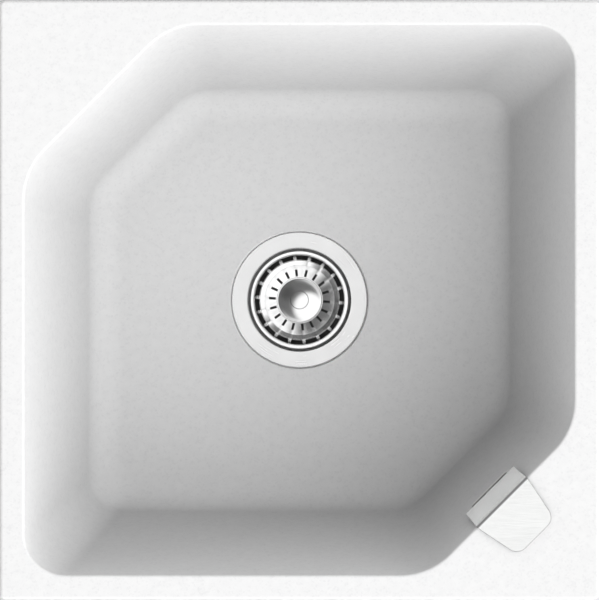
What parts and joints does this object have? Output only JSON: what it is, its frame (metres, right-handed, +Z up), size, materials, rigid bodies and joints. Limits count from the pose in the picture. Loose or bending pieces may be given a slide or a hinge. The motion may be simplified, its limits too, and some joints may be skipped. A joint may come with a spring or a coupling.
{
  "type": "kitchen sink",
  "caption": "Square drop-in composite sink with cut bowl corners, basket strainer, side overflow with hose, waste outlet and swing clamps under the rim.",
  "frame": {"origin": "centre of the bowl in plan, in the plane where the rim's underside rests on the worktop", "axes": "+Z up out of the bowl, +X to the right and +Y to the back as the picture shows the sink"},
  "size_m": [0.5, 0.5, 0.2738],
  "materials": {
    "composite": "matte white granite composite, fine grain",
    "satin_steel": "satin stainless",
    "knob_steel": "spun stainless",
    "plated_stem": "plated brass",
    "screw_steel": "stainless",
    "zinc_steel": "zinc plated",
    "brass": "turned brass",
    "rubber": "matte",
    "white_plastic": "satin moulded",
    "hose_plastic": "soft ribbed hose"
  },
  "bodies": {
    "sink": {"sink_bowl": "composite", "rim_seal": "rubber", "clamp_inserts": "brass", "flange_gasket": "rubber", "waste_cup": "satin_steel", "body_gasket": "rubber", "waste_body": "white_plastic", "waste_funnel": "white_plastic", "waste_tail": "white_plastic", "waste_screw": "screw_steel", "waste_nut": "brass", "overflow_cover": "satin_steel", "cover_pad": "rubber", "overflow_insert": "white_plastic", "overflow_screw": "screw_steel", "overflow_nut": "brass", "overflow_gasket": "rubber", "overflow_head": "white_plastic", "overflow_hose": "hose_plastic", "hose_nut_top": "white_plastic", "hose_nut_bottom": "white_plastic", "hose_seal_top": "rubber", "hose_seal_bottom": "rubber"},
    "plug": {"basket_stem": "plated_stem", "basket_seal": "rubber", "seal_plate": "satin_steel", "stem_ring": "rubber"},
    "basket": {"strainer_basket": "satin_steel", "basket_knob": "knob_steel"},
    "clamp_back_washer": {"clamp_back_washer": "zinc_steel"},
    "clamp_back_screw": {"clamp_back_screw": "zinc_steel"},
    "clamp_back_jaw": {"clamp_back_jaw": "zinc_steel"},
    "clamp_left_washer": {"clamp_left_washer": "zinc_steel"},
    "clamp_left_screw": {"clamp_left_screw": "zinc_steel"},
    "clamp_left_jaw": {"clamp_left_jaw": "zinc_steel"},
    "clamp_front_washer": {"clamp_front_washer": "zinc_steel"},
    "clamp_front_screw": {"clamp_front_screw": "zinc_steel"},
    "clamp_front_jaw": {"clamp_front_jaw": "zinc_steel"},
    "clamp_right_washer": {"clamp_right_washer": "zinc_steel"},
    "clamp_right_screw": {"clamp_right_screw": "zinc_steel"},
    "clamp_right_jaw": {"clamp_right_jaw": "zinc_steel"}
  },
  "joints": [
    {"name": "plug_lift", "type": "slide", "parent": "sink", "child": "plug", "axis": [0, 0, 1], "range_m": [0, 0.24]},
    {"name": "basket_turn", "type": "hinge", "parent": "plug", "child": "basket", "pos_m": [0, 0, -0.19], "axis": [0, 0, 1], "continuous": true},
    {"name": "clamp_back_travel", "type": "slide", "parent": "sink", "child": "clamp_back_washer", "axis": [0, 0, -1], "range_m": [0, 0.014]},
    {"name": "clamp_back_turn", "type": "hinge", "parent": "clamp_back_washer", "child": "clamp_back_screw", "pos_m": [0.04, 0.2325, -0.04], "axis": [0, 0, -1], "range_deg": [0, 6300]},
    {"name": "clamp_back_swing", "type": "hinge", "parent": "clamp_back_washer", "child": "clamp_back_jaw", "pos_m": [0.04, 0.2325, -0.04], "axis": [0, 0, 1], "range_deg": [0, 90]},
    {"name": "clamp_left_travel", "type": "slide", "parent": "sink", "child": "clamp_left_washer", "axis": [0, 0, -1], "range_m": [0, 0.014]},
    {"name": "clamp_left_turn", "type": "hinge", "parent": "clamp_left_washer", "child": "clamp_left_screw", "pos_m": [-0.2325, -0.04, -0.04], "axis": [0, 0, -1], "range_deg": [0, 6300]},
    {"name": "clamp_left_swing", "type": "hinge", "parent": "clamp_left_washer", "child": "clamp_left_jaw", "pos_m": [-0.2325, -0.04, -0.04], "axis": [0, 0, 1], "range_deg": [0, 90]},
    {"name": "clamp_front_travel", "type": "slide", "parent": "sink", "child": "clamp_front_washer", "axis": [0, 0, -1], "range_m": [0, 0.014]},
    {"name": "clamp_front_turn", "type": "hinge", "parent": "clamp_front_washer", "child": "clamp_front_screw", "pos_m": [-0.04, -0.2325, -0.04], "axis": [0, 0, -1], "range_deg": [0, 6300]},
    {"name": "clamp_front_swing", "type": "hinge", "parent": "clamp_front_washer", "child": "clamp_front_jaw", "pos_m": [-0.04, -0.2325, -0.04], "axis": [0, 0, 1], "range_deg": [0, 90]},
    {"name": "clamp_right_travel", "type": "slide", "parent": "sink", "child": "clamp_right_washer", "axis": [0, 0, -1], "range_m": [0, 0.014]},
    {"name": "clamp_right_turn", "type": "hinge", "parent": "clamp_right_washer", "child": "clamp_right_screw", "pos_m": [0.2325, 0.04, -0.04], "axis": [0, 0, -1], "range_deg": [0, 6300]},
    {"name": "clamp_right_swing", "type": "hinge", "parent": "clamp_right_washer", "child": "clamp_right_jaw", "pos_m": [0.2325, 0.04, -0.04], "axis": [0, 0, 1], "range_deg": [0, 90]}
  ],
  "couplings": [
    {"joint": "clamp_back_turn", "follows": "clamp_back_travel", "rad_per_m": 7854},
    {"joint": "clamp_left_turn", "follows": "clamp_left_travel", "rad_per_m": 7854},
    {"joint": "clamp_front_turn", "follows": "clamp_front_travel", "rad_per_m": 7854},
    {"joint": "clamp_right_turn", "follows": "clamp_right_travel", "rad_per_m": 7854}
  ]
}
